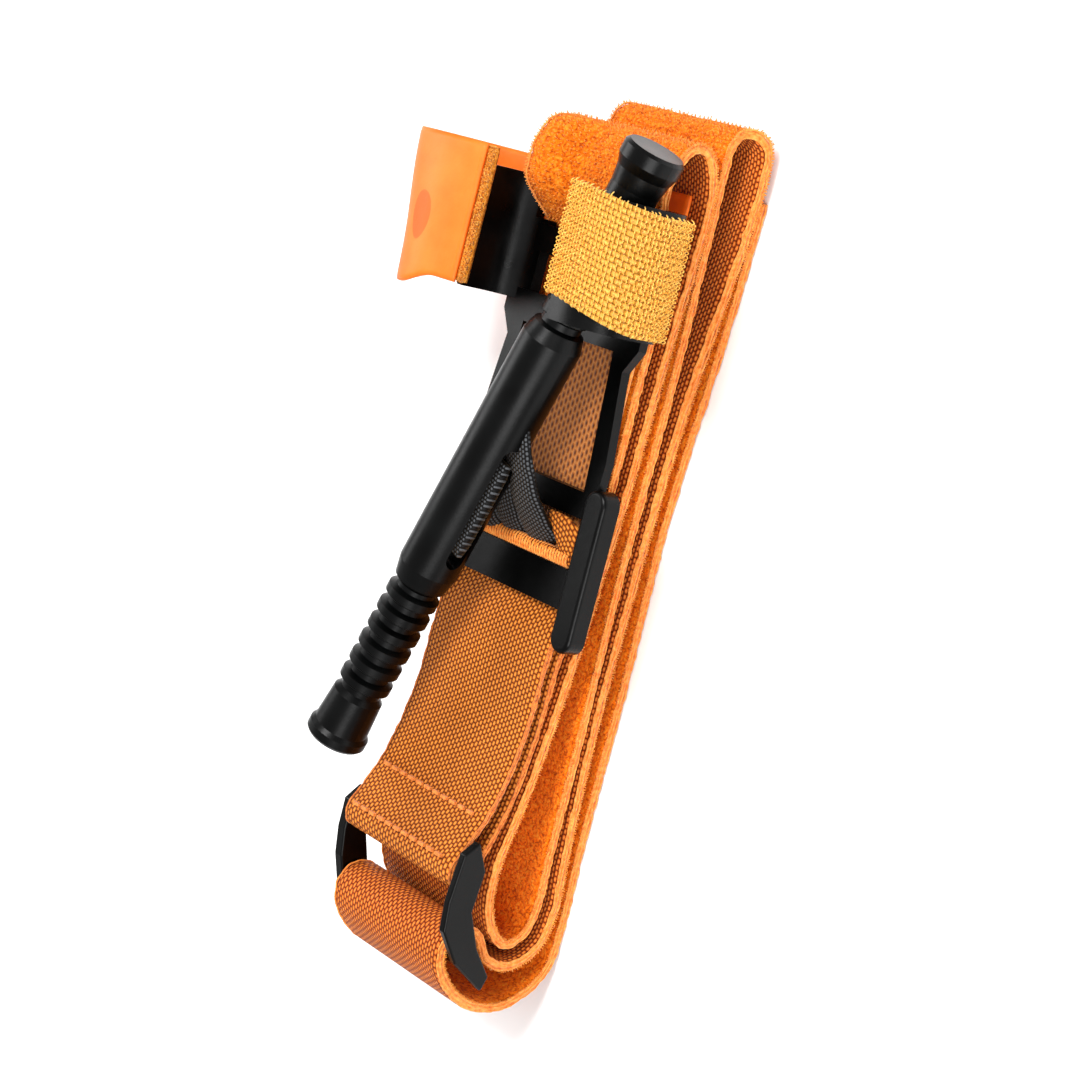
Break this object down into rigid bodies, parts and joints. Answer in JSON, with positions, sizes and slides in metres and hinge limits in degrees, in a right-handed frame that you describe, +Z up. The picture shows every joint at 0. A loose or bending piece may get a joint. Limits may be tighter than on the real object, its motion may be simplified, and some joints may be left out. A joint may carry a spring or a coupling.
{
  "type": "tourniquet",
  "caption": "Folded windlass tourniquet: woven band in flat folds, friction buckle, base plate with clip, windlass rod and time strap.",
  "frame": {"origin": "middle of the underside of the lowest band layer, on the band's centre line, below the lower edge of the base plate's wide crossbar", "axes": "+Z up from the surface it lies on, +Y along the band towards the windlass clip, +X towards the side that the clip's curled wing is on"},
  "size_m": [0.0793, 0.1949, 0.0463],
  "materials": {
    "webbing": "matte woven",
    "thread": "matte",
    "black_webbing": "matte woven",
    "coated_strap": "smooth satin",
    "loop_pile": "looped pile",
    "hook_tape": "hook tape",
    "black_plastic": "semi-gloss moulded"
  },
  "bodies": {
    "folded_band": {"band_upper_leg": "webbing", "band_fold_upper": "webbing", "band_layer_1": "webbing", "band_bend": "webbing", "band_layer_2": "webbing", "band_fold_lower": "webbing", "band_layer_3": "webbing", "band_rise": "webbing", "band_buckle_wrap": "webbing", "band_foot": "webbing", "band_layer_4": "webbing", "band_tip": "webbing", "sleeve_top": "webbing", "sleeve_buckle_turn": "webbing", "sleeve_under": "webbing", "sleeve_window_panel": "webbing", "sleeve_hem": "webbing", "sleeve_flap": "webbing", "stitch_row_inner": "thread", "stitch_row_outer": "thread", "inner_strap_run": "black_webbing", "inner_strap_leg_right": "black_webbing", "inner_strap_leg_middle": "black_webbing", "inner_strap_leg_left": "black_webbing", "time_strap_run": "coated_strap", "hook_patch": "hook_tape", "base_plate": "black_plastic"},
    "windlass": {"windlass_rod": "black_plastic", "inner_strap_bridge": "black_webbing"},
    "strap_flap": {"time_strap_flap": "coated_strap", "time_strap_lining": "loop_pile"},
    "buckle_frame": {"buckle": "black_plastic"}
  },
  "joints": [
    {"name": "windlass_swing", "type": "hinge", "parent": "folded_band", "child": "windlass", "pos_m": [-0.0045, 0.0164, 0.03695], "axis": [0, 0, 1], "range_deg": [0, 14]},
    {"name": "time_strap_open", "type": "hinge", "parent": "folded_band", "child": "strap_flap", "pos_m": [-0.0277, 0.073, 0.0187], "axis": [0, 1, 0], "range_deg": [-30, 0]},
    {"name": "buckle_tilt", "type": "hinge", "parent": "folded_band", "child": "buckle_frame", "pos_m": [0, -0.0588, 0.033], "axis": [1, 0, 0], "range_deg": [-3, 3]}
  ]
}
